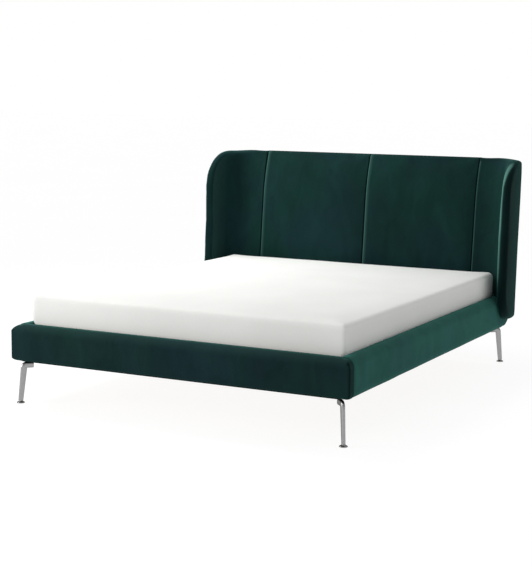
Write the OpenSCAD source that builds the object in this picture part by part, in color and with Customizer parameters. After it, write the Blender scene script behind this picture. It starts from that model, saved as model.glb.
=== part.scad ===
// Upholstered double bed: a leaning, winged headboard, padded rails on four bent steel legs,
// a telescopic mid-beam, two slatted bases and a mattress. Millimetres, +Z up, +Y towards the
// headboard, origin on the floor under the middle of the bed.

/* [Mattress] */
// Width of the mattress
mattress_w = 1600; // [1400:10:1800]
// Length of the mattress
mattress_l = 2000; // [1900:10:2100]
// Thickness of the mattress
mattress_h = 190; // [150:5:200]
// Radius of the mattress's long edges
mattress_edge_r = 18; // [12:1:40]
// Thickness of the mattress's cover
ticking_t = 4; // [2:1:6]

/* [Base frame] */
// Length of the base frame, from the foot rail's face to the back of the side rails
base_l = 2189; // [2180:1:2300]
// Height of the rails' top above the floor
rail_top = 378; // [370:1:400]
// Height of a rail, from its lower edge to its top
rail_h = 178; // [170:1:185]
// Thickness of a side rail with its padding
side_rail_t = 62; // [56:1:70]
// Thickness of the foot rail with its padding
foot_rail_t = 62; // [56:1:74]
// Radius of the rails' padded upper edges
rail_edge_r = 42; // [30:1:44]
// Radius of the rails' padded lower edges
rail_lower_r = 32; // [20:1:44]
// Thickness of the timber cores in the rails
core_t = 24; // [18:1:28]
// Gap between the mattress and each side rail
side_gap = 4; // [2:1:10]
// Distance from the foot rail's face to the mattress
mattress_setback = 80; // [78:1:90]

/* [Headboard] */
// Height of the headboard's middle along its own slope
hb_h = 863; // [800:1:940]
// Thickness of the headboard's middle behind the mattress
hb_t = 81; // [79:1:84]
// Angle by which the headboard's middle leans back
hb_lean = 5.5; // [4:0.1:6]
// Radius of the curve by which its face rolls back towards the top
hb_roll_r = 1000; // [800:10:1200]
// Radius of its rounded top
hb_top_r = 24; // [20:1:26]
// Half the distance between the two outer seams
seam_x = 656; // [600:1:670]
// Thickness of the velvet cover with its backing
velvet_t = 2; // [1:0.5:3]

/* [Wings] */
// Height of a wing along its own slope
wing_h = 860; // [800:1:900]
// Height of the wings' lower edge above the floor
wing_bottom = 259; // [250:1:265]
// Thickness of a wing's back
wing_t = 56; // [54:1:60]
// Angle by which the wings lean back
wing_lean = 2.2; // [0:0.1:3]
// Distance from the middle of the bed to the middle of a wing's front edge
wing_x = 895; // [890:1:898]
// How far the middle of that edge stands in front of the headboard's face
wing_reach = 204; // [196:1:230]
// Radius of the padded front edge
wing_edge_r = 24; // [23:1:28]
// Angle by which each wing flares outwards
wing_flare = 3.7; // [2:0.1:5]
// How far the inner curve starts behind the plane of a wing's back
wing_set_back = 50; // [44:1:51]
// Radius of the inner curve between the headboard and the wing
wing_inner_r = 180; // [150:1:190]
// Radius of the corner at the back of the wing
wing_back_r = 34; // [28:1:40]
// Radius of the wing's upper front corner, seen from the side
wing_corner_r = 212; // [120:1:240]
// Radius of the sweep from the wing's front edge to its foot, seen from the side
wing_sweep_r = 200; // [120:1:220]
// Thickness of the bent plywood shell
shell_t = 12; // [9:1:13]

/* [Legs] */
// Distance from a side rail's outer face to the middle of a foot
foot_inset_x = 34; // [28:1:38]
// Distance from the foot rail's face, or from the side rails' back, to the middle of a foot
foot_inset_y = 29; // [26:1:34]
// How far the leg leans inwards on its way up, along each side
leg_splay = 13; // [10:1:16]
// Half the oval leg's narrow width at its elbow
leg_top_r = 9; // [8:0.5:11]
// Half the oval leg's narrow width above the glide
leg_foot_r = 8; // [6:0.5:8.5]
// How much wider the leg is in the plane of its bend, on each side, at its elbow
leg_oval = 6; // [3:0.5:7]
// How much wider it is there above the glide
foot_oval = 3.5; // [0:0.5:4]
// Length of the stub from the elbow towards the bed's middle, along each side
stub_reach = 30; // [26:1:36]
// Radius of the glide
glide_r = 18.5; // [16:0.5:22]

/* [Slats] */
// Number of slats in each slatted base
slat_count = 15; // [10:1:18]
// Width of a slat
slat_w = 70; // [60:1:75]
// Thickness of a slat
slat_t = 14; // [10:1:16]

/* [Hidden] */
$fn = 64;

LEFT = -1;
RIGHT = 1;
FRONT = -1;
BACK = 1;
clear = 0.3;    // gap between pieces that lift off and what carries them

// Base frame
inner_x = mattress_w / 2 + side_gap;
outer_x = inner_x + side_rail_t;
rail_bottom = rail_top - rail_h;
core_margin = 22;    // padding above and below a rail's timber core
core_bottom = rail_bottom + core_margin;
core_h = rail_h - 2 * core_margin;
rail_inner_r = 8;    // radius of the rails' edges on the mattress's side
foot_corner_r = 12;    // radius of the foot rail's upright corners
rail_end_r = 80;    // radius of the side rails' lower back corners

// Overall length, with the headboard leaning past the back of the base
hb_overhang = (hb_t - hb_top_r) * cos(hb_lean) + (hb_h - hb_top_r) * sin(hb_lean)
    + hb_top_r - hb_t;
bed_l = base_l + hb_overhang;
foot_y = -bed_l / 2;
foot_inner_y = foot_y + foot_rail_t;
base_back_y = foot_y + base_l;
hb_y = base_back_y - wing_t;    // where the rails dip under the headboard
wing_back_z = wing_bottom - wing_t * sin(wing_lean);
rail_tongue_top = wing_back_z - 0.4;

// Mattress and what lies under it
mattress_y = foot_y + mattress_setback;
mattress_z = 318;
mattress_plan_r = 20;
band_t = 1;
slat_z = mattress_z - 2 - slat_t;
slat_inner_x = 8;
slat_outer_x = inner_x - 14;
slat_end_gap = 12;    // from the mattress's ends to the first and last slats
band_w = 25;
ledge_top = slat_z - clear;
ledge_w = 30;
ledge_h = 36;
ledge_t = 2.5;
bracket_h = 40;
bracket_t = 4;
bracket_w = 60;
bracket_z = ledge_top - bracket_h;
ledge_end_gap = 76;    // leaves room for the brackets

// Mid-beam
beam_w = 40;
beam_h = 30;
beam_wall = 2;
beam_fit = 0.2;
beam_overlap = 180;
beam_end_gap = 12;
beam_z = ledge_top - beam_h;
beam_middle_y = (foot_inner_y + hb_y) / 2;
shelf_l = 46;

// Legs
block_w = 100;
block_h = 50;
block_gap = 0.1;
glide_h = 12;
glide_rim_h = 5;
glide_stud_r = 4;
glide_stud_l = 14;
plate_w = 56;
plate_reach = 46;    // from the elbow to the middle of the plate, along each side
plate_t = 4;
leg_hole_r = 3.2;
leg_hole_pitch = 34;
elbow_z = rail_bottom - plate_t - leg_top_r - leg_oval + 1;
elbow = [foot_inset_x + leg_splay, foot_inset_y + leg_splay];    // from the outer corner
plate_middle = elbow + [plate_reach, plate_reach];

// Screws
screw_r = 2.5;
screw_head_r = 5;
screw_head_h = 2.5;
screw_l = 18;
screw_hole_r = 2.7;
ledge_screw_count = 6;
ledge_screw_end = 60;    // from a ledge's ends to its first and last screws

// Headboard's middle in its own slope, from its face backwards
hb_face_y = base_back_y - hb_t;
hb_foot_z = wing_back_z + hb_t * sin(hb_lean);
hb_recess = hb_t - wing_t;    // the face stands back below the mattress
hb_recess_h = 60;
hb_recess_top = 130;
hb_top_middle = [hb_t - hb_top_r, hb_h - hb_top_r];
hb_roll_middle = [hb_roll_r, hb_top_middle[1]
    - sqrt(pow(hb_roll_r - hb_top_r, 2) - pow(hb_roll_r - hb_top_middle[0], 2))];
hb_roll_a = asin((hb_top_middle - hb_roll_middle)[1] / (hb_roll_r - hb_top_r));
board_t = 12;
batten_t = 20;
batten_w = 40;
batten_y = hb_t - velvet_t - batten_t;
board_y = batten_y - board_t;
board_bottom = 8;
board_top = hb_h - 34;
board_h = board_top - board_bottom;
wing_join_x = inner_x - 4;    // the middle's section runs on inside the wings up to here
board_x = wing_join_x - 10;
shell_inset = (wing_t - shell_t) / 2;
shell_margin = 20;    // from the wing's outline to the edge of its shell
shell_start_a = 48;    // where the shell starts on the inner curve

// A wing in plan: its outer and inner faces are parallel lines, flared about the middle of
// the front edge, and an arc leads from the inner face into the headboard's face.
wing_k = [wing_x, -wing_reach];
wing_n = [cos(wing_flare), sin(wing_flare)];
wing_arc_y = wing_set_back - wing_inner_r;
wing_arc_x = (wing_k * wing_n - wing_edge_r - wing_inner_r - wing_arc_y * wing_n[1]) / wing_n[0];
wing_corner_y = wing_t - wing_back_r;
wing_corner_x = (wing_k * wing_n + wing_edge_r - wing_back_r - wing_corner_y * wing_n[1])
    / wing_n[0];
wing_front = -wing_reach - wing_edge_r;
back_edge_r = 12;    // radius of the wing's lower back corner, seen from the side

// Colours
velvet = [0.10, 0.22, 0.21];
foam_colour = [0.93, 0.90, 0.78];
timber = [0.80, 0.66, 0.46];
plywood = [0.76, 0.60, 0.40];
steel = [0.74, 0.74, 0.75];
chrome = [0.82, 0.82, 0.83];
white_ticking = [0.93, 0.92, 0.90];
band_colour = [0.88, 0.87, 0.84];

// Helpers

module on_side(side) {
    mirror([side < 0 ? 1 : 0, 0, 0]) children();
}

// A rectangle from the origin with a radius at each corner, in the order
// lower left, lower right, upper right, upper left
module rounded_rect(w, h, r) {
    corners = [[0, 0], [w, 0], [w, h], [0, h]];
    inward = [[1, 1], [-1, 1], [-1, -1], [1, -1]];
    difference() {
        square([w, h]);
        for (i = [0:3]) {
            difference() {
                translate(corners[i] - [1 - inward[i][0], 1 - inward[i][1]] * r[i] / 2)
                    square(r[i]);
                translate(corners[i] + inward[i] * r[i]) circle(r[i]);
            }
        }
    }
}

// The points of an arc about c, from angle a0 to angle a1
function arc(c, r, a0, a1, steps) =
    [for (i = [0:steps]) let (a = a0 + (a1 - a0) * i / steps) c + r * [cos(a), sin(a)]];

// Extrudes a shape drawn in Y and Z along X, from x0 to x1
module along_x(x0, x1) {
    translate([x0, 0, 0]) rotate([90, 0, 90]) linear_extrude(height = x1 - x0) children();
}

// Extrudes a shape drawn in X and Z along Y, from y0 to y1
module along_y(y0, y1) {
    translate([0, y1, 0]) rotate([90, 0, 0]) linear_extrude(height = y1 - y0) children();
}

// Puts children at the foot of the headboard's face, leaning back
module leaning() {
    translate([0, hb_face_y, hb_foot_z]) rotate([-hb_lean, 0, 0]) children();
}

// Puts children at the foot of the wings' backs, leaning back
module wing_leaning() {
    translate([0, hb_y, wing_bottom]) rotate([-wing_lean, 0, 0]) children();
}

// A countersunk-style screw whose head's underside is at the origin, pointing along -Z
module screw() {
    cylinder(r = screw_head_r, h = screw_head_h);
    translate([0, 0, -screw_l]) cylinder(r = screw_r, h = screw_l);
}

// The hole for a screw in a plate whose surface is at the origin
module screw_hole() {
    translate([0, 0, -bracket_t - 1]) cylinder(r = screw_hole_r, h = bracket_t + 2);
}

// Mattress

module mattress_form(inset) {
    w = mattress_w - 2 * inset;
    l = mattress_l - 2 * inset;
    h = mattress_h - 2 * inset;
    r = mattress_edge_r - inset;
    corner = mattress_plan_r - inset;
    translate([-w / 2, mattress_y + inset, mattress_z + inset]) intersection() {
        linear_extrude(height = h) rounded_rect(w, l, [corner, corner, corner, corner]);
        along_x(0, w) rounded_rect(l, h, [r, r, r, r]);
        along_y(0, l) rounded_rect(w, h, [r, r, r, r]);
    }
}

module mattress_cover() {
    color(white_ticking) difference() {
        mattress_form(0);
        mattress_form(ticking_t);
    }
}

module mattress_core() {
    color(foam_colour) mattress_form(ticking_t);
}

// Slatted bases

module slats(side) {
    first_y = mattress_y + slat_end_gap;
    pitch = (mattress_l - 2 * slat_end_gap - slat_w) / (slat_count - 1);
    color(timber) on_side(side) for (i = [0:slat_count - 1]) {
        translate([slat_inner_x, first_y + i * pitch, slat_z])
            cube([slat_outer_x - slat_inner_x, slat_w, slat_t]);
    }
}

module slat_bands(side) {
    color(band_colour) on_side(side) for (share = [0.2, 0.8]) {
        x = slat_inner_x + share * (slat_outer_x - slat_inner_x);
        translate([x - band_w / 2, mattress_y + slat_end_gap, slat_z + slat_t])
            cube([band_w, mattress_l - 2 * slat_end_gap, band_t]);
    }
}

// Side rails

module side_rail_section(inset) {
    w = side_rail_t - 2 * inset;
    h = rail_h - 2 * inset;
    inner = rail_inner_r - inset;
    translate([inner_x + inset, rail_bottom + inset])
        rounded_rect(w, h, [inner, rail_lower_r - inset, rail_edge_r - inset, inner]);
}

module side_rail_core_section() {
    translate([inner_x, core_bottom]) square([core_t, core_h]);
}

// Gives a side rail its length, its rounded lower back corner and its low tongue
// under the headboard
module side_rail_length() {
    difference() {
        along_y(foot_inner_y, base_back_y) children();
        translate([0, hb_y, rail_tongue_top]) cube([2 * outer_x, 2 * wing_t, rail_h]);
        along_x(0, 2 * outer_x) difference() {
            translate([base_back_y - rail_end_r, rail_bottom]) square(rail_end_r);
            translate([base_back_y - rail_end_r, rail_bottom + rail_end_r]) circle(rail_end_r);
        }
    }
}

module side_rail_core(side) {
    color(timber) on_side(side) side_rail_length() side_rail_core_section();
}

module side_rail_foam(side) {
    color(foam_colour) on_side(side) side_rail_length() difference() {
        side_rail_section(velvet_t);
        side_rail_core_section();
    }
}

module side_rail_cover(side) {
    color(velvet) on_side(side) side_rail_length() difference() {
        side_rail_section(0);
        side_rail_section(velvet_t);
        side_rail_core_section();
    }
}

// Foot rail

module foot_rail_form(inset) {
    w = 2 * (outer_x - inset);
    l = foot_rail_t - 2 * inset;
    h = rail_h - 2 * inset;
    upper = rail_edge_r - inset;
    lower = rail_lower_r - inset;
    inner = rail_inner_r - inset;
    corner = foot_corner_r - inset;
    translate([-w / 2, foot_y + inset, rail_bottom + inset]) intersection() {
        along_x(0, w) rounded_rect(l, h, [lower, inner, inner, upper]);
        along_y(0, l) rounded_rect(w, h, [lower, lower, upper, upper]);
        linear_extrude(height = h) rounded_rect(w, l, [corner, corner, 0.01, 0.01]);
    }
}

module foot_rail_core() {
    color(timber) translate([-inner_x, foot_inner_y - core_t, core_bottom])
        cube([2 * inner_x, core_t, core_h]);
}

module foot_rail_foam() {
    color(foam_colour) difference() {
        foot_rail_form(velvet_t);
        foot_rail_core();
    }
}

module foot_rail_cover() {
    color(velvet) difference() {
        foot_rail_form(0);
        foot_rail_form(velvet_t);
        foot_rail_core();
    }
}

// Cross rail under the headboard
module head_rail() {
    color(timber) translate([-inner_x, hb_y, rail_bottom])
        cube([2 * inner_x, wing_t, rail_tongue_top - rail_bottom]);
}

// Corner blocks, legs and glides

// Puts children where the frame's outer corner is the origin and the bed's middle lies
// towards +X and +Y
module at_corner(side, end) {
    translate([side * outer_x, end == FRONT ? foot_y : base_back_y, 0])
        mirror([side > 0 ? 1 : 0, 0, 0]) mirror([0, end == BACK ? 1 : 0, 0]) children();
}

function block_y(end) = (end == FRONT ? foot_rail_t : wing_t) + block_gap;

module corner_block(side, end) {
    color(timber) at_corner(side, end)
        translate([side_rail_t + block_gap, block_y(end), rail_bottom])
            cube([block_w, block_w, block_h]);
}

// The plate's three screws, clear of the stub
module leg_plate_places() {
    for (c = [[-1, 1], [1, -1], [1, 1]]) {
        place = plate_middle + c * leg_hole_pitch / 2;
        translate([place[0], place[1], 0]) children();
    }
}

// The outer and the inner side of the leg's bend
module leg_elbow() {
    for (i = [-1, 1]) translate([i * leg_oval, 0, -i * leg_oval]) sphere(r = leg_top_r, $fn = 28);
}

// An oval bar, wide in the plane of its bend: down and outwards to the glide, and a stub
// that runs level towards the bed's middle
module leg_bar() {
    end_l = 1;
    translate([elbow[0], elbow[1], elbow_z]) rotate([0, 0, 45]) {
        hull() {
            leg_elbow();
            for (i = [-1, 1]) translate([i * foot_oval - leg_splay * sqrt(2), 0, glide_h - elbow_z])
                cylinder(r = leg_foot_r, h = end_l, $fn = 28);
        }
        hull() {
            leg_elbow();
            for (i = [-1, 1]) translate([stub_reach * sqrt(2) - end_l, 0, i * leg_oval])
                rotate([0, 90, 0]) cylinder(r = leg_top_r, h = end_l, $fn = 28);
        }
    }
}

module leg(side, end) {
    color(chrome) at_corner(side, end) difference() {
        union() {
            leg_bar();
            translate([plate_middle[0] - plate_w / 2, plate_middle[1] - plate_w / 2,
                rail_bottom - plate_t]) cube([plate_w, plate_w, plate_t]);
        }
        translate([foot_inset_x, foot_inset_y, 0])
            cylinder(r = glide_stud_r + 0.1, h = glide_h + glide_stud_l);
        leg_plate_places() translate([0, 0, rail_bottom - 2 * plate_t])
            cylinder(r = leg_hole_r, h = 3 * plate_t);
    }
}

module glide(side, end) {
    color(chrome) at_corner(side, end) translate([foot_inset_x, foot_inset_y, 0]) {
        cylinder(r = glide_r, h = glide_rim_h);
        translate([0, 0, glide_rim_h])
            cylinder(r1 = glide_r, r2 = leg_foot_r, h = glide_h - glide_rim_h);
        translate([0, 0, glide_h]) cylinder(r = glide_stud_r, h = glide_stud_l);
    }
}

module leg_screws() {
    color(steel) for (side = [LEFT, RIGHT], end = [FRONT, BACK]) at_corner(side, end)
        leg_plate_places() translate([0, 0, rail_bottom - plate_t]) mirror([0, 0, 1]) screw();
}

// Ledges that carry the slats

module ledge_screw_places() {
    y0 = foot_inner_y + ledge_end_gap + ledge_screw_end;
    y1 = hb_y - ledge_end_gap - ledge_screw_end;
    for (i = [0:ledge_screw_count - 1])
        translate([inner_x - ledge_t, y0 + i * (y1 - y0) / (ledge_screw_count - 1),
            ledge_top - 0.6 * ledge_h]) rotate([0, -90, 0]) children();
}

module ledge(side) {
    y0 = foot_inner_y + ledge_end_gap;
    y1 = hb_y - ledge_end_gap;
    color(steel) on_side(side) difference() {
        along_y(y0, y1) union() {
            translate([inner_x - ledge_w, ledge_top - ledge_t]) square([ledge_w, ledge_t]);
            translate([inner_x - ledge_t, ledge_top - ledge_h]) square([ledge_t, ledge_h]);
        }
        ledge_screw_places() screw_hole();
    }
}

module ledge_screws() {
    color(steel) for (side = [LEFT, RIGHT]) on_side(side) ledge_screw_places() screw();
}

// Telescopic mid-beam

module beam_tube(w, h, wall, y0, y1) {
    translate([0, 0, beam_z + beam_h / 2]) along_y(y0, y1) difference() {
        square([w, h], center = true);
        square([w - 2 * wall, h - 2 * wall], center = true);
    }
}

module midbeam_outer() {
    color(steel) beam_tube(beam_w, beam_h, beam_wall,
        beam_middle_y - beam_overlap / 2, hb_y - beam_end_gap);
}

module midbeam_inner() {
    slim = 2 * (beam_wall + beam_fit);
    color(steel) beam_tube(beam_w - slim, beam_h - slim, beam_wall,
        foot_inner_y + beam_end_gap, beam_middle_y + beam_overlap / 2);
}

// Puts children on a rail's inner wall, facing inwards along +Y for 1 and along -Y for -1
module on_wall(wall_y, inward) {
    translate([0, wall_y, 0]) mirror([0, inward < 0 ? 1 : 0, 0]) children();
}

module midbeam_screw_places() {
    for (i = [-1, 1]) translate([i * bracket_w / 3, bracket_t, core_bottom + 14])
        rotate([-90, 0, 0]) children();
}

// An upright plate against a rail and a shelf that the beam's end rests on
module midbeam_bracket(wall_y, inward, shelf_z) {
    plate_z = core_bottom + 2;
    color(steel) on_wall(wall_y, inward) difference() {
        translate([-bracket_w / 2, 0, 0]) {
            translate([0, 0, plate_z]) cube([bracket_w, bracket_t, shelf_z - plate_z]);
            translate([0, 0, shelf_z - bracket_t]) cube([bracket_w, shelf_l, bracket_t]);
        }
        midbeam_screw_places() screw_hole();
    }
}

module midbeam_bracket_foot() {
    midbeam_bracket(foot_inner_y, 1, beam_z + beam_wall + beam_fit);
}

module midbeam_bracket_head() {
    midbeam_bracket(hb_y, -1, beam_z);
}

module midbeam_screws() {
    color(steel) {
        on_wall(foot_inner_y, 1) midbeam_screw_places() screw();
        on_wall(hb_y, -1) midbeam_screw_places() screw();
    }
}

// Steel angles that join the rails at the foot, and the side rails to the headboard

module angle_screw_places() {
    z = bracket_z + bracket_h / 2;
    for (share = [0.45, 0.8]) {
        translate([inner_x - bracket_t, share * bracket_w, z]) rotate([0, -90, 0]) children();
        translate([inner_x - share * bracket_w, bracket_t, z]) rotate([-90, 0, 0]) children();
    }
}

module angle_bracket() {
    difference() {
        translate([inner_x - bracket_w, 0, bracket_z]) difference() {
            cube([bracket_w, bracket_w, bracket_h]);
            translate([-1, bracket_t, -1])
                cube([bracket_w - bracket_t + 1, bracket_w, bracket_h + 2]);
        }
        angle_screw_places() screw_hole();
    }
}

module corner_bracket(side) {
    color(steel) on_side(side) on_wall(foot_inner_y, 1) angle_bracket();
}

module headboard_bracket(side) {
    color(steel) on_side(side) on_wall(hb_y, -1) angle_bracket();
}

module bracket_screws() {
    color(steel) for (side = [LEFT, RIGHT]) on_side(side) {
        on_wall(foot_inner_y, 1) angle_screw_places() screw();
        on_wall(hb_y, -1) angle_screw_places() screw();
    }
}

// Headboard, middle part

// The middle's section: a face that rolls back towards the rounded top, a flat back, and a
// recess below the mattress
module headboard_profile(inset) {
    polygon(concat(
        [[hb_t - inset, inset], [hb_recess + inset, inset], [hb_recess + inset, hb_recess_h],
            [inset, hb_recess_top]],
        arc(hb_roll_middle, hb_roll_r - inset, 180, 180 - hb_roll_a, 16),
        arc(hb_top_middle, hb_top_r - inset, 170 - hb_roll_a, 0, 12)));
}

module headboard_board() {
    color(plywood) leaning() translate([-board_x, board_y, board_bottom])
        cube([2 * board_x, board_t, board_h]);
}

module headboard_battens() {
    bay_w = (2 * board_x - 3 * batten_w) / 2;
    bay_h = (board_h - 3 * batten_w) / 2;
    color(timber) leaning() difference() {
        translate([-board_x, batten_y, board_bottom]) cube([2 * board_x, batten_t, board_h]);
        for (i = [0, 1], j = [0, 1]) {
            translate([-board_x + batten_w + i * (bay_w + batten_w), batten_y - 1,
                board_bottom + batten_w + j * (bay_h + batten_w)])
                cube([bay_w, batten_t + 2, bay_h]);
        }
    }
}

// The room for the board and the battens, open at the foot
module board_room() {
    translate([board_y, 0]) square([hb_t - velvet_t - board_y, board_top]);
}

module headboard_foam(side) {
    color(foam_colour) on_side(side) leaning() along_x(0, seam_x) difference() {
        headboard_profile(velvet_t);
        board_room();
    }
}

module headboard_skin() {
    difference() {
        headboard_profile(0);
        headboard_profile(velvet_t);
    }
}

module headboard_cover(side) {
    color(velvet) on_side(side) leaning() along_x(0, seam_x) intersection() {
        headboard_skin();
        square([hb_top_middle[0], hb_h]);
    }
}

module headboard_back_cover() {
    color(velvet) leaning() along_x(-seam_x, seam_x) intersection() {
        headboard_skin();
        translate([hb_top_middle[0], 0]) square([hb_t, hb_h]);
    }
}

// Headboard wings

// A wing in plan, drawn inwards by inset: along the headboard's face, round the inner curve,
// round the front edge, and back along the outer face
module wing_plan(inset) {
    polygon(concat(
        [[seam_x, wing_set_back + inset]],
        arc([wing_arc_x, wing_arc_y], wing_inner_r + inset, 90, wing_flare, 20),
        arc(wing_k, wing_edge_r - inset, 180 + wing_flare, 360 + wing_flare, 14),
        arc([wing_corner_x, wing_corner_y], wing_back_r - inset, wing_flare, 90, 8),
        [[seam_x, wing_t - inset]]));
}

// The bent shell in plan, from the wing's back corner to its front edge
module wing_shell_plan() {
    polygon(concat(
        arc([wing_arc_x, wing_arc_y], wing_inner_r + shell_inset, shell_start_a, wing_flare, 12),
        arc(wing_k, wing_edge_r - shell_inset, 180 + wing_flare, 360 + wing_flare, 8),
        arc([wing_corner_x, wing_corner_y], wing_back_r - shell_inset, wing_flare, 90, 8)));
}

// The wing's outline from the side: an upright front edge between a large upper corner and
// a lower edge that sweeps back to the foot of the headboard
module wing_outline(inset) {
    radii = [wing_sweep_r, back_edge_r, wing_t / 2, wing_corner_r];
    translate([wing_front + inset, inset]) rounded_rect(wing_t - wing_front - 2 * inset,
        wing_h - 2 * inset, [for (r = radii) max(r - inset, 1)]);
}

// Gives a plan the wing's slope and its outline
module wing_upright(outline_inset) {
    wing_leaning() intersection() {
        linear_extrude(height = wing_h + 1) children();
        along_x(seam_x, outer_x + 3 * wing_t) wing_outline(outline_inset);
    }
}

// Room for the side rail and the mattress's support in front of the headboard
module rail_room() {
    translate([0, foot_y, 0]) cube([outer_x + clear, hb_y - foot_y, rail_top + clear]);
}

// The wing with the end of the headboard's middle that it grows out of
module wing_form(inset) {
    difference() {
        union() {
            wing_upright(inset) wing_plan(inset);
            leaning() along_x(seam_x, wing_join_x - inset) headboard_profile(inset);
        }
        rail_room();
    }
}

module wing_shell_form() {
    difference() {
        wing_upright(shell_margin) wing_shell_plan();
        rail_room();
    }
}

module wing_shell(side) {
    color(plywood) on_side(side) wing_shell_form();
}

module wing_foam(side) {
    color(foam_colour) on_side(side) difference() {
        wing_form(velvet_t);
        wing_shell_form();
        leaning() along_x(seam_x - 1, board_x) board_room();
    }
}

module wing_cover(side) {
    color(velvet) on_side(side) difference() {
        wing_form(0);
        wing_form(velvet_t);
    }
}

mattress_cover();
mattress_core();
slats(LEFT);  // slats_left
slats(RIGHT);  // slats_right
slat_bands(LEFT);  // slat_bands_left
slat_bands(RIGHT);  // slat_bands_right
side_rail_core(LEFT);  // side_rail_core_left
side_rail_core(RIGHT);  // side_rail_core_right
side_rail_foam(LEFT);  // side_rail_foam_left
side_rail_foam(RIGHT);  // side_rail_foam_right
side_rail_cover(LEFT);  // side_rail_cover_left
side_rail_cover(RIGHT);  // side_rail_cover_right
foot_rail_core();
foot_rail_foam();
foot_rail_cover();
head_rail();
corner_block(LEFT, FRONT);  // corner_block_front_left
corner_block(RIGHT, FRONT);  // corner_block_front_right
corner_block(LEFT, BACK);  // corner_block_back_left
corner_block(RIGHT, BACK);  // corner_block_back_right
leg(LEFT, FRONT);  // leg_front_left
leg(RIGHT, FRONT);  // leg_front_right
leg(LEFT, BACK);  // leg_back_left
leg(RIGHT, BACK);  // leg_back_right
glide(LEFT, FRONT);  // glide_front_left
glide(RIGHT, FRONT);  // glide_front_right
glide(LEFT, BACK);  // glide_back_left
glide(RIGHT, BACK);  // glide_back_right
leg_screws();
ledge(LEFT);  // ledge_left
ledge(RIGHT);  // ledge_right
ledge_screws();
midbeam_outer();
midbeam_inner();
midbeam_bracket_foot();
midbeam_bracket_head();
midbeam_screws();
corner_bracket(LEFT);  // corner_bracket_left
corner_bracket(RIGHT);  // corner_bracket_right
headboard_bracket(LEFT);  // headboard_bracket_left
headboard_bracket(RIGHT);  // headboard_bracket_right
bracket_screws();
headboard_board();
headboard_battens();
headboard_foam(LEFT);  // headboard_foam_left
headboard_foam(RIGHT);  // headboard_foam_right
headboard_cover(LEFT);  // headboard_cover_left
headboard_cover(RIGHT);  // headboard_cover_right
headboard_back_cover();
wing_shell(LEFT);  // wing_shell_left
wing_shell(RIGHT);  // wing_shell_right
wing_foam(LEFT);  // wing_foam_left
wing_foam(RIGHT);  // wing_foam_right
wing_cover(LEFT);  // wing_cover_left
wing_cover(RIGHT);  // wing_cover_right
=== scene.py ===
import math

import bmesh
import bpy
import numpy as np
from mathutils import Matrix, Vector, noise


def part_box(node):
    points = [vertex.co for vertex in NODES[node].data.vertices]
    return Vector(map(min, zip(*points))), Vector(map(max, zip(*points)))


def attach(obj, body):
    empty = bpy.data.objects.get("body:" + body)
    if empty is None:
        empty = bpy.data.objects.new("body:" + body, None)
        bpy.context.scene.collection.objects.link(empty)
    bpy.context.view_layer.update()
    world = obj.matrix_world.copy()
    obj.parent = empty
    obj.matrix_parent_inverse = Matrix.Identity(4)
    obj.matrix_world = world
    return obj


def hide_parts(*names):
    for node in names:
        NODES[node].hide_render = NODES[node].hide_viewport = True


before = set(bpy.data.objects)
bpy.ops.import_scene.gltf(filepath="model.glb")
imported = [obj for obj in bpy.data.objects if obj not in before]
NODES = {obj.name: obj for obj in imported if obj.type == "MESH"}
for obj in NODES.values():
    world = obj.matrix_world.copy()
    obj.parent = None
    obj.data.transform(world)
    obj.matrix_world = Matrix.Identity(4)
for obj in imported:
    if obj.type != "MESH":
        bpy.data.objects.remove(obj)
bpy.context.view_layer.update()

SCENE = bpy.context.scene
SIDES = {"left": -1, "right": 1}


# Places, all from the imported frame

def read_points(piece):
    """An object's points as an array."""
    points = np.zeros(len(piece.data.vertices) * 3)
    piece.data.vertices.foreach_get("co", points)
    return points.reshape(-1, 3)


def plate_lean(name):
    """The angle by which a plate leans back, from its largest face."""
    face = max(NODES[name].data.polygons, key=lambda p: p.area)
    normal = face.normal if face.normal.y < 0 else -face.normal
    return math.atan2(normal.z, -normal.y)


def leaning_axes(lean):
    """Turns points whose Y and Z lean back with an angle into the row frame's axes."""
    c, s = math.cos(lean), math.sin(lean)
    return np.array([[1, 0, 0], [0, c, s], [0, -s, c]])


def leaning_box(axes, *names):
    """Lowest and highest corner of CAD nodes in leaning axes."""
    points = np.concatenate([read_points(NODES[n]) for n in names]) @ axes
    return points.min(0), points.max(0)


LEAN = plate_lean("headboard_board")
TO_ROW = leaning_axes(LEAN)
_low, _high = leaning_box(TO_ROW, "headboard_cover_left", "headboard_cover_right",
                          "headboard_back_cover")
HB_FOOT = _low[1:]                     # the foot of the headboard's face, in leaning axes
HB_T = _high[1] - _low[1]
HB_H = _high[2] - _low[2]
SEAM_X = _high[0]
BOARD_LOW, BOARD_HIGH = leaning_box(TO_ROW, "headboard_board")
BOARD_Y = BOARD_LOW[1] - HB_FOOT[0]
BOARD_TOP = BOARD_HIGH[2] - HB_FOOT[1]
MATTRESS_LOW, MATTRESS_HIGH = (np.array(c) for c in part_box("mattress_cover"))
RAIL_LOW, RAIL_HIGH = (np.array(c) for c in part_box("side_rail_cover_right"))
CORE_LOW, CORE_HIGH = (np.array(c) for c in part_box("side_rail_core_right"))
FOOT_LOW, FOOT_HIGH = (np.array(c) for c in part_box("foot_rail_cover"))
HEAD_RAIL_LOW, HEAD_RAIL_HIGH = (np.array(c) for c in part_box("head_rail"))

# The headboard's middle, in its leaning axes
HB_ROLL_R = 1.0            # the curve by which its face rolls back towards the top
HB_TOP_R = 0.024
HB_TOP = np.array([HB_T - HB_TOP_R, HB_H - HB_TOP_R])
HB_RECESS = (0.060, 0.130)     # between these heights the face comes forward to its full depth

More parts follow.
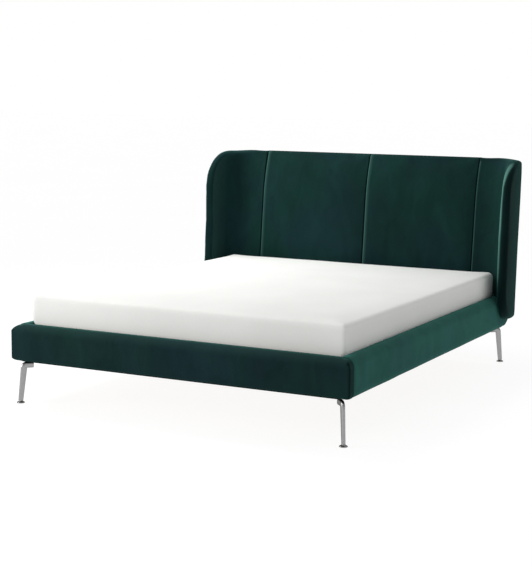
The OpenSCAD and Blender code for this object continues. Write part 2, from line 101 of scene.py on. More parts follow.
# The wing's shape, in metres and radians
WING_LEAN = math.radians(2.2)
WING_H = 0.860
WING_T = 0.056
WING_EDGE_R = 0.024        # radius of the padded front edge
WING_FLARE = math.radians(3.7)
WING_INNER_R = 0.180       # the curve between the headboard and the wing
WING_BACK_R = 0.034
WING_CORNER_R = 0.212      # the upper front corner, from the side
WING_SWEEP_R = 0.200       # the lower front sweep, from the side
WING_CROWN = 0.005         # how far its top rises between the seam and the front corner
WING_DROP = 0.014          # how far the padding hangs below the wing's shell in front
WING_BOTTOM = 0.259        # how high its back starts
SEAM_ROLL = 0.009          # how far a cover's edge rolls in at a seam

WING_TO_ROW = leaning_axes(WING_LEAN)
WING_BASE = np.array([0.0, RAIL_HIGH[1] - WING_T, WING_BOTTOM]) @ WING_TO_ROW
_low, _high = leaning_box(WING_TO_ROW, "wing_cover_right")
WING_FRONT = _low[1] - WING_BASE[1]
WING_OUT = _high[0]


def from_headboard(x, section):
    """A section's points (depth, height), given from the foot of the headboard's face and
    leaning with it, in the row frame at x."""
    return (np.array([[x, *p] for p in section]) + [0, *HB_FOOT]) @ TO_ROW.T


def from_wing(points):
    """Points given from the foot of the wings' backs, leaning with them, in the row frame."""
    return (np.asarray(points, float) + WING_BASE) @ WING_TO_ROW.T


def into_wing(points):
    """Points in the row frame, given from the foot of the wings' backs instead."""
    return np.asarray(points, float) @ WING_TO_ROW - WING_BASE


# Meshes

def add_piece(name, points, faces, sharp=40):
    """A new mesh object from points and faces, smooth except where faces meet sharply."""
    mesh = bpy.data.meshes.new(name)
    mesh.from_pydata([tuple(p) for p in points], [], faces)
    mesh.validate()
    work = bmesh.new()
    work.from_mesh(mesh)
    bmesh.ops.recalc_face_normals(work, faces=work.faces)
    work.to_mesh(mesh)
    work.free()
    mesh.shade_smooth()
    mesh.set_sharp_from_angle(angle=math.radians(sharp))
    piece = bpy.data.objects.new(name, mesh)
    SCENE.collection.objects.link(piece)
    return piece


def loft(rings):
    """Points and faces of a closed skin over rings that have the same number of points."""
    points = [p for ring in rings for p in ring]
    length, last = len(rings[0]), len(points) - len(rings[0])
    faces = []
    for here in range(0, last, length):
        there = here + length
        faces += [(here + j, here + (j + 1) % length, there + (j + 1) % length, there + j)
                  for j in range(length)]
    faces.append(tuple(range(length))[::-1])
    faces.append(tuple(range(last, last + length)))
    return points, faces


def smooth_step(value):
    """0 up to 0 and 1 from 1 on, with a soft rise between them."""
    t = np.clip(value, 0.0, 1.0)
    return t * t * (3 - 2 * t)


def hump(value, centre, width):
    """1 at a centre, falling to 0 at a width from it."""
    return smooth_step(1 - np.abs(value - centre) / width)


def distances_along(line):
    """How far along a line each of its points lies."""
    return np.concatenate([[0], np.cumsum(np.linalg.norm(np.diff(line, axis=0), axis=1))])


def directions(points):
    """The way in which a line runs at each of its points."""
    ways = np.gradient(np.asarray(points), axis=0)
    return ways / np.linalg.norm(ways, axis=1)[:, None]


def resample(line, count):
    """The same line with count evenly spaced points."""
    line = np.array(line)
    so_far = distances_along(line)
    at = np.linspace(0, so_far[-1], count)
    return np.stack([np.interp(at, so_far, line[:, k]) for k in range(line.shape[1])], 1)


def arc(centre, radius, start, end, steps):
    """Points of an arc in a plane, with angles in degrees."""
    angles = np.radians(np.linspace(start, end, steps + 1))
    return [np.array([centre[0] + radius * math.cos(a), centre[1] + radius * math.sin(a)])
            for a in angles]


def spread_along(points, spacing):
    """A polyline's points again, spaced out evenly with its corners kept."""
    result = [points[0]]
    for a, b in zip(points[:-1], points[1:]):
        steps = max(1, round(np.linalg.norm(np.subtract(b, a)) / spacing))
        result += [np.asarray(a) + (np.asarray(b) - a) * k / steps for k in range(1, steps + 1)]
    return result


def eased(low, high, spacing, roll):
    """Places from low to high that crowd together where a rolled edge turns in at each end."""
    turn = [roll * (1 - math.cos(math.pi / 2 * k / 5)) for k in range(5)]
    middle = np.linspace(low + roll, high - roll, max(2, round((high - low - 2 * roll) / spacing)))
    return [low + t for t in turn] + list(middle) + [high - t for t in reversed(turn)]


def roll_in(gap, roll=SEAM_ROLL):
    """How far a cover has rolled in at a gap from its edge."""
    if gap >= roll:
        return 0.0
    return roll - math.sqrt(max(roll * roll - (roll - gap) ** 2, 0.0))


def on_side(piece, side):
    """A piece made for the right side, or its mirror image in its place for the left."""
    if side > 0:
        return piece
    copy = piece.copy()
    copy.data = piece.data.copy()
    copy.name = copy.data.name = piece.name.replace("right", "left")
    copy.data.transform(Matrix.Scale(-1, 4, Vector((1, 0, 0))))
    copy.data.flip_normals()
    SCENE.collection.objects.link(copy)
    bpy.data.objects.remove(piece)
    return copy


def write_points(piece, points):
    """Puts a piece's points at new places."""
    piece.data.vertices.foreach_set("co", points.astype(np.float32).ravel())
    piece.data.update()


def mark_painted_light_and_shade(piece, values):
    """Stores the painted light (above 0) and painted shade (below 0) of a velvet piece at each
    point.
    """
    lay = piece.data.attributes.new("lay", "FLOAT", "POINT")
    lay.data.foreach_set("value", np.asarray(values, np.float32))


def undulate(piece, amount, scale, seed, still):
    """Gives a cover the shallow unevenness of cloth pulled over foam, except where it is still."""
    points = read_points(piece)
    normals = np.array([v.normal for v in piece.data.vertices])
    offset = Vector((seed * 7.31, seed * 3.17, seed * 5.03))
    wave = np.array([noise.noise(Vector(p) * scale + offset)
                     + 0.4 * noise.noise(Vector(p) * scale * 2.7 + offset) for p in points])
    write_points(piece, points + normals * (wave * (1 - still) * amount)[:, None])


CLOTH_SETTINGS = {"quality": 5, "mass": 0.25, "tension_stiffness": 12,
                  "compression_stiffness": 12, "shear_stiffness": 8, "bending_stiffness": 2,
                  "use_pressure": True, "vertex_group_mass": "held"}
CLOTH_FRAMES = 14


def inflate(piece, held, pressure, cap):
    """Cloth simulation: the cover swells over its foam, while the points that held names stay
    on the frame. No point moves further than cap. The result is applied to the mesh."""
    rest = read_points(piece)
    group = piece.vertex_groups.new(name="held")
    for index, weight in enumerate(held):
        if weight > 0:
            group.add([index], float(weight), "REPLACE")
    cloth = piece.modifiers.new("cloth", "CLOTH")
    for name, value in CLOTH_SETTINGS.items():
        setattr(cloth.settings, name, value)
    cloth.settings.uniform_pressure_force = pressure
    cloth.settings.effector_weights.gravity = 0
    cloth.collision_settings.use_collision = False
    cloth.collision_settings.use_self_collision = False
    cloth.point_cache.frame_start = 1
    cloth.point_cache.frame_end = CLOTH_FRAMES
    for f in range(1, CLOTH_FRAMES + 1):
        SCENE.frame_set(f)
    evaluated = piece.evaluated_get(bpy.context.evaluated_depsgraph_get())
    moved = np.array([v.co for v in evaluated.data.vertices]).reshape(-1, 3) - rest
    piece.modifiers.remove(cloth)
    piece.vertex_groups.remove(group)
    far = np.linalg.norm(moved, axis=1)
    moved *= np.where(far > 0, cap * np.tanh(far / cap) / np.maximum(far, 1e-9), 0)[:, None]
    SCENE.frame_set(1)
    write_points(piece, rest + moved)


# Materials

class Shader:
    """A node material, built one node at a time."""

    def __init__(self, name):
        self.material = bpy.data.materials.new(name)
        self.material.use_nodes = True
        self.tree = self.material.node_tree
        self.principled = self.tree.nodes["Principled BSDF"]
        self.place = self.node("ShaderNodeTexCoord").outputs["Object"]

    def node(self, kind, inputs=None, **settings):
        """A new node with its settings and, by name, what goes into it."""
        node = self.tree.nodes.new(kind)
        for key, value in settings.items():
            setattr(node, key, value)
        for name, value in (inputs or {}).items():
            self.feed(value, node.inputs[name])
        return node

    def feed(self, value, socket):
        """Gives a socket a number, a colour, a vector or another node's output."""
        if isinstance(value, (int, float)):
            socket.default_value = value
        elif isinstance(value, tuple):
            socket.default_value = (*value, 1)[:len(socket.default_value)]
        else:
            self.tree.links.new(value, socket)

    def stretched(self, scale):
        """The place on the piece, with each axis scaled."""
        inputs = {"Vector": self.place, "Scale": scale}
        return self.node("ShaderNodeMapping", inputs).outputs["Vector"]

    def noise(self, scale, detail=2.0, roughness=0.5, distortion=0.0, vector=None):
        inputs = {"Vector": vector or self.place, "Scale": scale, "Detail": detail,
                  "Roughness": roughness, "Distortion": distortion}
        return self.node("ShaderNodeTexNoise", inputs).outputs["Fac"]

    def wave(self, scale, direction):
        inputs = {"Vector": self.place, "Scale": scale}
        return self.node("ShaderNodeTexWave", inputs, bands_direction=direction).outputs["Fac"]

    def cells(self, scale):
        inputs = {"Vector": self.place, "Scale": scale}
        return self.node("ShaderNodeTexVoronoi", inputs).outputs["Distance"]

    def ramp(self, value, stops):
        """A value as a colour, from (position, colour or grey) stops."""
        node = self.node("ShaderNodeValToRGB", {"Fac": value})
        ramp = node.color_ramp
        while len(ramp.elements) < len(stops):
            ramp.elements.new(0.5)
        for element, (position, colour) in zip(ramp.elements, stops):
            element.position = position
            element.color = (*colour, 1) if isinstance(colour, tuple) else (*[colour] * 3, 1)
        return node.outputs["Color"]

    def spread(self, value, low, high, start=0.0, end=1.0):
        """A value from start to end as a value from low to high."""
        inputs = {"Value": value, "From Min": start, "From Max": end,
                  "To Min": low, "To Max": high}
        return self.node("ShaderNodeMapRange", inputs).outputs["Result"]

    def math(self, operation, a, b):
        node = self.node("ShaderNodeMath", operation=operation)
        self.feed(a, node.inputs[0])
        self.feed(b, node.inputs[1])
        return node.outputs["Value"]

    def sum(self, a, b, share):
        """A share of a plus the rest of b."""
        return self.math("ADD", self.math("MULTIPLY", a, share),
                         self.math("MULTIPLY", b, round(1 - share, 2)))

    def mix(self, factor, a, b, blend="MIX"):
        inputs = {"Factor": factor, "A": a, "B": b}
        return self.node("ShaderNodeMix", inputs, data_type="RGBA",
                         blend_type=blend).outputs["Result"]

    def times(self, a, b):
        return self.mix(1.0, a, b, "MULTIPLY")

    def bump(self, height, strength, distance):
        """Adds a bump to those that the material has."""
        normal = self.principled.inputs["Normal"]
        inputs = {"Height": height, "Strength": strength, "Distance": distance}
        if normal.links:
            inputs["Normal"] = normal.links[0].from_socket
        self.feed(self.node("ShaderNodeBump", inputs).outputs["Normal"], normal)

    def set(self, **values):
        """Feeds the shader's own sockets."""
        for name, value in values.items():
            name = name.replace("_", " ").title().replace("Ior", "IOR")
            self.feed(value, self.principled.inputs[name])


# Colours painted into the velvet: a painted highlight and a painted shade, mixed in by each point's
# stored value.
PAINTED_HIGHLIGHT_COLOUR = (0.085, 0.200, 0.172)
PAINTED_SHADE_COLOUR = (0.0008, 0.0022, 0.0024)
PILE_SHEEN = (0.16, 0.62, 0.52)


def velvet(name, green, blue, sheen):
    """Short-pile velvet: brushed patches that turn from green to blue, streaks along the pile and
    a fine grain. Where a piece's painted light and shade is above 0 its colour is lightened towards
    a painted highlight, and where it is below 0 it is darkened towards a painted shade."""
    s = Shader(name)
    along = s.stretched((1.0, 1.0, 0.45))
    patches = s.noise(2.6, detail=3.0, roughness=0.55, distortion=0.6, vector=along)
    hues = s.noise(3.4, detail=2.0, distortion=0.4)
    brushed = s.noise(11.0, detail=4.0, roughness=0.6, distortion=1.2, vector=along)
    pile = s.noise(1100.0, detail=1.0)
    fine = s.noise(240.0, detail=3.0, roughness=0.7)
    tone = s.sum(patches, brushed, 0.62)
    hue = s.mix(s.spread(hues, 0.0, 1.0, 0.35, 0.65), green, blue)
    level = s.ramp(tone, [(0.36, 0.76), (0.50, 0.98), (0.64, 1.24)])
    grain = s.sum(pile, fine, 0.6)
    shade = s.ramp(grain, [(0.30, 0.78), (0.70, 1.22)])
    lay = s.node("ShaderNodeAttribute", attribute_name="lay").outputs["Fac"]
    colour = s.times(s.times(hue, level), shade)
    # Painted highlight where the point's value is above 0, painted shade where it is below 0.
    colour = s.mix(s.spread(lay, 0.0, 1.0), colour, PAINTED_HIGHLIGHT_COLOUR)
    colour = s.mix(s.spread(lay, 0.0, 0.85, 0.0, -1.0), colour, PAINTED_SHADE_COLOUR)
    s.set(base_color=colour, roughness=s.spread(tone, 0.74, 0.88), specular_ior_level=0.03,
          sheen_weight=sheen, sheen_roughness=0.36, sheen_tint=PILE_SHEEN)
    s.bump(pile, 0.25, 0.0006)
    s.bump(fine, 0.18, 0.0012)
    return s.material


def ticking():
    """A plain knitted mattress cover."""
    s = Shader("ticking")
    ribs = s.math("MULTIPLY", s.wave(190.0, "X"), s.wave(190.0, "Y"))
    knit = s.noise(420.0, detail=2.0)
    cloudy = s.noise(2.6, detail=3.0, roughness=0.55)
    colour = s.ramp(cloudy, [(0.35, (0.855, 0.860, 0.832)), (0.65, (0.890, 0.896, 0.868))])
    shade = s.ramp(knit, [(0.3, 0.95), (0.7, 1.0)])
    s.set(base_color=s.times(colour, shade), roughness=s.spread(knit, 0.82, 0.94),
          specular_ior_level=0.2, sheen_weight=0.15, sheen_roughness=0.5,
          sheen_tint=(1.0, 1.0, 1.0))
    s.bump(ribs, 0.10, 0.0006)
    s.bump(knit, 0.12, 0.0008)
    return s.material


def satin_chrome():
    """Chrome-plated steel with a brushed, slightly uneven satin finish."""
    s = Shader("satin_chrome")
    brushed = s.noise(60.0, detail=3.0, roughness=0.6, vector=s.stretched((14.0, 14.0, 0.8)))
    smears = s.noise(9.0, detail=3.0)
    colour = s.ramp(brushed, [(0.3, (0.27, 0.27, 0.272)), (0.7, (0.38, 0.38, 0.382))])
    s.set(base_color=colour, metallic=1.0, specular_tint=(0.30, 0.30, 0.31),
          roughness=s.math("ADD", s.spread(brushed, 0.14, 0.26), s.spread(smears, -0.03, 0.05)))
    s.bump(brushed, 0.05, 0.0003)
    return s.material


def zinc_steel():
    """Zinc-plated sheet steel with its spangle and light scratches."""
    s = Shader("zinc_steel")
    scratches = s.noise(70.0, detail=3.0, vector=s.stretched((1.0, 12.0, 1.0)))
    colour = s.mix(0.35, s.ramp(s.cells(90.0),
                                [(0.1, (0.50, 0.51, 0.53)), (0.8, (0.62, 0.63, 0.65))]),
                   s.ramp(scratches, [(0.3, (0.46, 0.47, 0.49)), (0.7, (0.68, 0.69, 0.71))]))
    s.set(base_color=colour, metallic=0.9, roughness=s.spread(scratches, 0.32, 0.52))
    s.bump(scratches, 0.06, 0.0004)
    return s.material


def wood(name, dark, light, along, ring_scale=26.0):
    """Planed timber with grain along one axis."""
    s = Shader(name)
    scale = [1.0, 1.0, 1.0]
    scale["XYZ".index(along)] = 0.06
    vector = s.stretched(tuple(scale))
    rings = s.noise(ring_scale, detail=4.0, roughness=0.55, distortion=2.2, vector=vector)
    fibres = s.noise(420.0, detail=2.0, vector=vector)
    board = s.noise(5.0, detail=1.0)
    colour = s.ramp(rings, [(0.30, dark), (0.48, light), (0.56, dark), (0.72, light)])
    shade = s.ramp(s.sum(fibres, board, 0.6), [(0.3, (0.86, 0.84, 0.82)), (0.7, 1.05)])
    s.set(base_color=s.times(colour, shade), roughness=s.spread(fibres, 0.52, 0.72),
          specular_ior_level=0.35)
    s.bump(fibres, 0.15, 0.0004)
    s.bump(rings, 0.08, 0.0008)
    return s.material


def plywood():
    """Sanded birch plywood, whose edges show thin layers."""
    s = Shader("plywood")
    face = s.noise(18.0, detail=4.0, distortion=1.6, vector=s.stretched((1.0, 1.0, 0.12)))
    layers = s.wave(110.0, "Y")
    colour = s.mix(0.25, s.ramp(face, [(0.3, (0.50, 0.36, 0.21)), (0.7, (0.66, 0.50, 0.32))]),
                   s.ramp(layers, [(0.35, (0.38, 0.26, 0.15)), (0.65, (0.68, 0.53, 0.35))]))
    s.set(base_color=colour, roughness=s.spread(face, 0.55, 0.7), specular_ior_level=0.35)
    s.bump(face, 0.1, 0.0006)
    return s.material


def tape():
    """Woven polyester tape with a twill across it."""
    s = Shader("tape")
    weave = s.math("MULTIPLY", s.wave(260.0, "Y"), s.wave(260.0, "X"))
    s.set(base_color=s.ramp(weave, [(0.1, (0.55, 0.54, 0.50)), (0.8, (0.74, 0.73, 0.69))]),
          roughness=s.spread(weave, 0.75, 0.9), specular_ior_level=0.2)
    s.bump(weave, 0.4, 0.0006)
    return s.material


# The same velvet in five tones, as lit and shaded copies: the plain one for the headboard and
# wings, a much lighter copy with more sheen for the side rails (painted sheen), a slightly lighter
# one for the foot rail (painted light), and two darker copies with little sheen for the wings'
# outer faces and the rails' lower edges (painted shade).
VELVET = velvet("velvet", (0.0056, 0.0250, 0.0212), (0.0064, 0.0220, 0.0245), 0.25)
VELVET_AWAY_PAINTED_SHADE = velvet("velvet_away_painted_shade", (0.0040, 0.0235, 0.0205), (0.0042, 0.0210, 0.0210), 0.13)
VELVET_UNDER_PAINTED_SHADE = velvet("velvet_under", (0.0030, 0.0110, 0.0100), (0.0030, 0.0100, 0.0110), 0.04)
VELVET_SIDE_PAINTED_SHEEN = velvet("velvet_side_painted_sheen", (0.0175, 0.0740, 0.0600), (0.0180, 0.0640, 0.0620), 0.46)
VELVET_FOOT_PAINTED_LIGHT = velvet("velvet_foot_painted_light", (0.0080, 0.0270, 0.0236), (0.0088, 0.0236, 0.0280), 0.33)
TICKING = ticking()
CHROME = satin_chrome()
ZINC = zinc_steel()
TIMBER_X, TIMBER_Y, TIMBER_Z = (
    wood("timber_" + word, (0.42, 0.27, 0.14), (0.62, 0.45, 0.27), axis)
    for word, axis in (("across", "X"), ("along", "Y"), ("upright", "Z")))
SLAT_WOOD = wood("slat_pine", (0.55, 0.38, 0.20), (0.74, 0.57, 0.36), "X", 34.0)
PLYWOOD = plywood()
TAPE = tape()


def dress(piece, material, body, stands_for):
    """Gives a piece its material and body, and hides the CAD nodes that it stands for."""
    piece.data.materials.clear()
    piece.data.materials.append(material)
    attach(piece, body)
    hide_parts(*stands_for)
    return piece


# The mattress

def rounded_box(low, high, radius, spacing):
    """Points and faces of a box with round edges, finer where it turns."""
    lines = [eased(a, b, spacing, radius) for a, b in zip(low, high)]
    last = [len(line) - 1 for line in lines]
    inner_low, inner_high = np.array(low) + radius, np.array(high) - radius
    index, points, faces = {}, [], []

    def vertex(i, j, k):
        if (i, j, k) not in index:
            raw = np.array([lines[0][i], lines[1][j], lines[2][k]])
            near = np.clip(raw, inner_low, inner_high)
            away = raw - near
            length = np.linalg.norm(away)
            points.append(near + away / length * radius if length > 1e-9 else raw)
            index[i, j, k] = len(points) - 1
        return index[i, j, k]

    for axis in range(3):
        u, v = [a for a in range(3) if a != axis]
        for end in (0, last[axis]):
            for a in range(last[u]):
                for b in range(last[v]):
                    corners = []
                    for da, db in ((0, 0), (1, 0), (1, 1), (0, 1)):
                        place = [0, 0, 0]
                        place[axis], place[u], place[v] = end, a + da, b + db
                        corners.append(vertex(*place))
                    faces.append(tuple(corners))
    return points, faces


MATTRESS_EDGE_R = 0.027
MATTRESS_START = 0.002     # the cover starts this much smaller, and swells back
MATTRESS_RISE = 0.003      # how far its top may swell upwards
MATTRESS_SWELL = 0.020     # how far each side reaches out over its rail


def make_mattress():
    """The mattress in its cover, which is held along its flat underside."""
    low = MATTRESS_LOW + [MATTRESS_START, MATTRESS_START, 0]
    high = MATTRESS_HIGH - MATTRESS_START
    piece = add_piece("mattress", *rounded_box(low, high, MATTRESS_EDGE_R, 0.030))
    rest = read_points(piece)
    held = np.where(rest[:, 2] < MATTRESS_LOW[2] + 0.004, 1.0, 0.0)
    inflate(piece, held, 1.6, 0.009)
    swollen = read_points(piece)
    swollen[:, 2] = np.maximum(swollen[:, 2], MATTRESS_LOW[2])
    # Over the rails there is room to swell sideways, and the cover rests on them.
    over = smooth_step((swollen[:, 2] - RAIL_HIGH[2] + 0.006) / 0.012)
    swollen[:, 0] *= 1 + over * MATTRESS_SWELL / MATTRESS_HIGH[0]
    # The foam keeps the top almost flat, so only the sides keep their full bulge.
    rise = swollen[:, 2] - MATTRESS_HIGH[2]
    capped = MATTRESS_HIGH[2] + MATTRESS_RISE * np.tanh(rise / MATTRESS_RISE)
    swollen[:, 2] = np.where(rise > 0, capped, swollen[:, 2])
    write_points(piece, swollen)
    still = np.where(rest[:, 2] < MATTRESS_LOW[2] + 0.010, 1.0, 0.0)
    undulate(piece, 0.0012, 3.5, 1, still)
    return dress(piece, TICKING, "mattress", ["mattress_cover", "mattress_core"])


# The padded rails

RAIL_TOP_R = 0.042
RAIL_LOWER_R = 0.032
RAIL_INNER_R = 0.008
RAIL_END_R = 0.080         # the side rails' lower end at the back, from the side
CORNER_R = 0.012           # the foot rail's upright corners, from above
END_TOP_R = 0.044          # its roundings at both ends, from in front
END_LOWER_R = 0.024
MITRE_SOFT = 0.014         # how softly the two roundings meet at the corner
TUCK = 0.006               # how far a cover tucks behind a timber core's face
# The rails' lower edges get painted shade up to this height.
UNDER_EDGE = 0.008         # how far up from its lower edge a rail's cover is dark
CORNER_SEAM_Y = FOOT_LOW[1] + 0.046    # the foot rail's cover comes round the corner this far
SIDE_COUNTS = (2, 2, 7, 3, 2)          # points between the roundings of a rail's section


def rail_profile(inner, outer, low, high, shrink=0.0):
    """A rail's section as points (across, up), from the core's upper edge over the top,
    down the outer face and back underneath, tucked in behind the core's face."""
    inner, outer, low, high = inner + shrink, outer - shrink, low + shrink, high - shrink
    room = high - low
    top_r = min(RAIL_TOP_R, room * 0.55)
    low_r = min(RAIL_LOWER_R, room * 0.42)
    core_low = min(max(CORE_LOW[2], low + RAIL_INNER_R), high - RAIL_INNER_R)
    core_high = min(max(CORE_HIGH[2], core_low), high - RAIL_INNER_R)
    return [
        [np.array([inner + TUCK, core_high - 0.003]), np.array([inner, core_high + 0.001])],
        arc((inner + RAIL_INNER_R, high - RAIL_INNER_R), RAIL_INNER_R, 180, 90, 4),
        arc((outer - top_r, high - top_r), top_r, 90, 0, 10),
        arc((outer - low_r, low + low_r), low_r, 0, -90, 8),
        arc((inner + RAIL_INNER_R, low + RAIL_INNER_R), RAIL_INNER_R, 270, 180, 4),
        [np.array([inner, core_low - 0.001]), np.array([inner + TUCK, core_low + 0.003])],
    ]


def filled_profile(stretches):
    """Joins a profile's stretches with evenly spaced points, the same number at each station."""
    points = list(stretches[0])
    for count, before, after in zip(SIDE_COUNTS, stretches[:-1], stretches[1:]):
        a, b = before[-1], after[0]
        points += [a + (b - a) * t / (count + 1) for t in range(1, count + 1)]
        points += list(after)
    return points


def make_side_rail(word):
    """A padded side rail, with its seam at the foot rail and its round lower end at the back."""
    front, back = CORNER_SEAM_Y, RAIL_HIGH[1]
    under = HEAD_RAIL_LOW[1]           # where the rail dips under the headboard
    turn = back - RAIL_END_R           # where its lower end starts to rise
    stations = [(y, RAIL_HIGH[2]) for y in eased(front, under + 0.05, 0.020, SEAM_ROLL)
                if y < under - 0.001]
    stations.append((under, RAIL_HIGH[2]))
    first = math.asin(1 - (back - under) / RAIL_END_R)
    stations += [(turn + RAIL_END_R * math.sin(a), HEAD_RAIL_HIGH[2])
                 for a in np.linspace(first, math.pi / 2 * 0.96, 10)]
    rings = []
    for y, high in stations:
        past = max(y - turn, 0.0)
        low = RAIL_LOW[2] + RAIL_END_R - math.sqrt(RAIL_END_R ** 2 - past ** 2)
        if high - low < 0.02:
            break
        profile = rail_profile(RAIL_LOW[0], RAIL_HIGH[0], low, high, roll_in(y - front))
        rings.append([np.array([p[0], y, p[1]]) for p in filled_profile(profile)])
    piece = add_piece("side_rail_right", *loft(rings))
    x, y, z = read_points(piece).T
    held = np.where((x < RAIL_LOW[0] + 0.012) | (y < front + 0.002) | (y > under - 0.03)
                    | (z < RAIL_LOW[2] + 0.003), 1.0, 0.0)
    inflate(piece, held, 1.2, 0.004)
    undulate(piece, 0.0012, 4.5, 3, held)
    # Painted light and shade: the top rounding a little lighter, painted shade along the lower edge
    # and in the seam at the foot rail.
    rise = (z - RAIL_LOW[2]) / (RAIL_HIGH[2] - RAIL_LOW[2])
    mark_painted_light_and_shade(piece, 0.06 * smooth_step((rise - 0.75) / 0.2) - 0.9 * smooth_step((0.13 - rise) / 0.1)
             - 0.8 * hump(y, front, 0.006))
    piece = on_side(piece, SIDES[word])
    dress(piece, VELVET_SIDE_PAINTED_SHEEN, "frame",
          ["side_rail_cover_" + word, "side_rail_foam_" + word])
    shade_underneath(piece, RAIL_LOW[2] + UNDER_EDGE)


def shade_underneath(piece, height):
    """Paints shade under a rail: the faces below a height get a dark copy of the velvet with almost
    no sheen.
    """
    piece.data.materials.append(VELVET_UNDER_PAINTED_SHADE)
    for face in piece.data.polygons:
        if face.center.z < height:
            face.material_index = 1


def soft_limit(value, limit, way):
    """The lower (way 1) or higher (way -1) of two values, blended where they are close."""
    share = min(max(0.5 + 0.5 * way * (limit - value) / MITRE_SOFT, 0.0), 1.0)
    return value * share + limit * (1 - share) - way * MITRE_SOFT * share * (1 - share)


def mitred(section, gap):
    """A rail's section near its end, where the same rounding comes round the corner: points
    (inset from the face, height) are held between the heights that the end's own curve has."""
    if gap >= END_TOP_R + MITRE_SOFT:
        return section
    high = FOOT_HIGH[2] - roll_in(gap, END_TOP_R)
    low = FOOT_LOW[2] + roll_in(gap, END_LOWER_R)
    return [(inset, soft_limit(soft_limit(z, high, 1.0), low, -1.0)) for inset, z in section]


def make_foot_rail():
    """The padded foot rail. Its rounding comes round both corners, up to the side rails' seams."""
    half = FOOT_HIGH[0]
    front, back = FOOT_LOW[1], FOOT_HIGH[1]
    bottom, top = FOOT_LOW[2], FOOT_HIGH[2]
    turn = [half - END_TOP_R * (1 - math.sin(math.pi / 2 * t)) for t in np.linspace(0, 1, 22)]
    middle = np.linspace(0, half - END_TOP_R - MITRE_SOFT, 44)
    stations = sorted(list(middle) + turn + [RAIL_LOW[0] - 0.0005, RAIL_LOW[0] + 0.0005])
    stations = [-x for x in reversed(stations[1:])] + stations
    rings = []
    for x in stations:
        gap = half - abs(x)
        limit = back - front if abs(x) < RAIL_LOW[0] else CORNER_SEAM_Y - front
        corner = roll_in(gap, CORNER_R)
        profile = filled_profile(rail_profile(-back, -front, bottom, top))
        section = mitred([(-p[0] - front, p[1]) for p in profile], gap)
        rings.append([np.array([x, front + min(max(inset, corner), limit), z])
                      for inset, z in section])
    piece = add_piece("foot_rail", *loft(rings))
    x, y, z = read_points(piece).T
    held = np.where((y > back - 0.012) | (z < bottom + 0.003)
                    | (np.abs(x) > RAIL_LOW[0] - 0.004), 1.0, 0.0)
    inflate(piece, held, 1.2, 0.004)
    undulate(piece, 0.0012, 4.5, 5, held)
    # Painted light and shade: the top rounding a little lighter; painted shade on the strip that
    # comes round each corner, deeper in thin creases at the corner and at the seam, and along the
    # lower edge.
    rise = (z - bottom) / (top - bottom)
    at_end = smooth_step((np.abs(x) - half + 0.020) / 0.010)
    around = smooth_step((y - front - 0.0005) / 0.006) * at_end
    painted_crease_shade = 0.55 * hump(y, front + 0.008, 0.010) + 0.65 * hump(y, CORNER_SEAM_Y, 0.010)
    mark_painted_light_and_shade(piece, 0.07 * smooth_step((rise - 0.76) / 0.2) * (1 - around)
             - around * (0.30 + painted_crease_shade) - 0.6 * smooth_step((0.10 - rise) / 0.1))
    dress(piece, VELVET_FOOT_PAINTED_LIGHT, "frame", ["foot_rail_cover", "foot_rail_foam"])
    shade_underneath(piece, bottom + UNDER_EDGE)


# The headboard

def headboard_face():
    """The middle's face in section, as (depth, height), from its foot to its crest."""
    reach = HB_ROLL_R - HB_TOP_R
    roll = np.array([HB_ROLL_R, HB_TOP[1] - math.sqrt(reach ** 2 - (HB_ROLL_R - HB_TOP[0]) ** 2)])
    turn = math.degrees(math.asin((HB_TOP[1] - roll[1]) / reach))
    recess = HB_T - WING_T
    line = [np.array(p) for p in ((recess, 0.0), (recess, HB_RECESS[0]), (0.0, HB_RECESS[1]),
                                  (0.0, roll[1]))]
    rise = arc(roll, HB_ROLL_R, 180, 180 - turn, 14)
    over = arc(HB_TOP, HB_TOP_R, 180 - turn, 90, 8)
    return spread_along(line, 0.018) + rise[1:] + over[1:]


def inset_section(section, amount):
    """A section drawn back from its own face by an amount."""
    ways = directions(section)
    return np.array(section) + np.stack([ways[:, 1], -ways[:, 0]], 1) * amount


def make_headboard_panel(word):
    """A padded panel between the middle seam and an outer seam, rounded over at its top."""
    side = SIDES[word]
    face = headboard_face()
    crest = face[-1]
    inside = spread_along([np.array([crest[0], BOARD_TOP + 0.004]),
                           np.array([BOARD_Y - 0.002, BOARD_TOP + 0.004]),
                           np.array([BOARD_Y - 0.002, 0.002])], 0.1)
    rings = []
    for x in eased(0.0, SEAM_X, 0.016, SEAM_ROLL):
        front = inset_section(face, roll_in(min(x, SEAM_X - x)))
        rings.append(from_headboard(x, list(front) + inside))
    piece = add_piece("headboard_panel_right", *loft(rings))
    x, y, z = (read_points(piece) @ TO_ROW - [0, *HB_FOOT]).T
    held = np.where((x < 0.003) | (x > SEAM_X - 0.003) | (y > crest[0] - 0.003) | (z < 0.02)
                    | ((y > BOARD_Y - 0.004) & (z < BOARD_TOP + 0.006)), 1.0, 0.0)
    inflate(piece, held, 1.6, 0.006)
    undulate(piece, 0.0014, 4.0, 7 if side > 0 else 8, held)
    # Painted light and shade: a painted highlight just to the right of each seam, and painted shade
    # in the seams' grooves.
    near, far = (x, SEAM_X - x)[::side]
    mark_painted_light_and_shade(piece, 0.50 * hump(near, 0.006, 0.005) - hump(near, 0.0, 0.003)
             - hump(far, 0.001, 0.006))
    piece = on_side(piece, side)
    return dress(piece, VELVET, "frame",
                 ["headboard_cover_" + word, "headboard_foam_" + word])


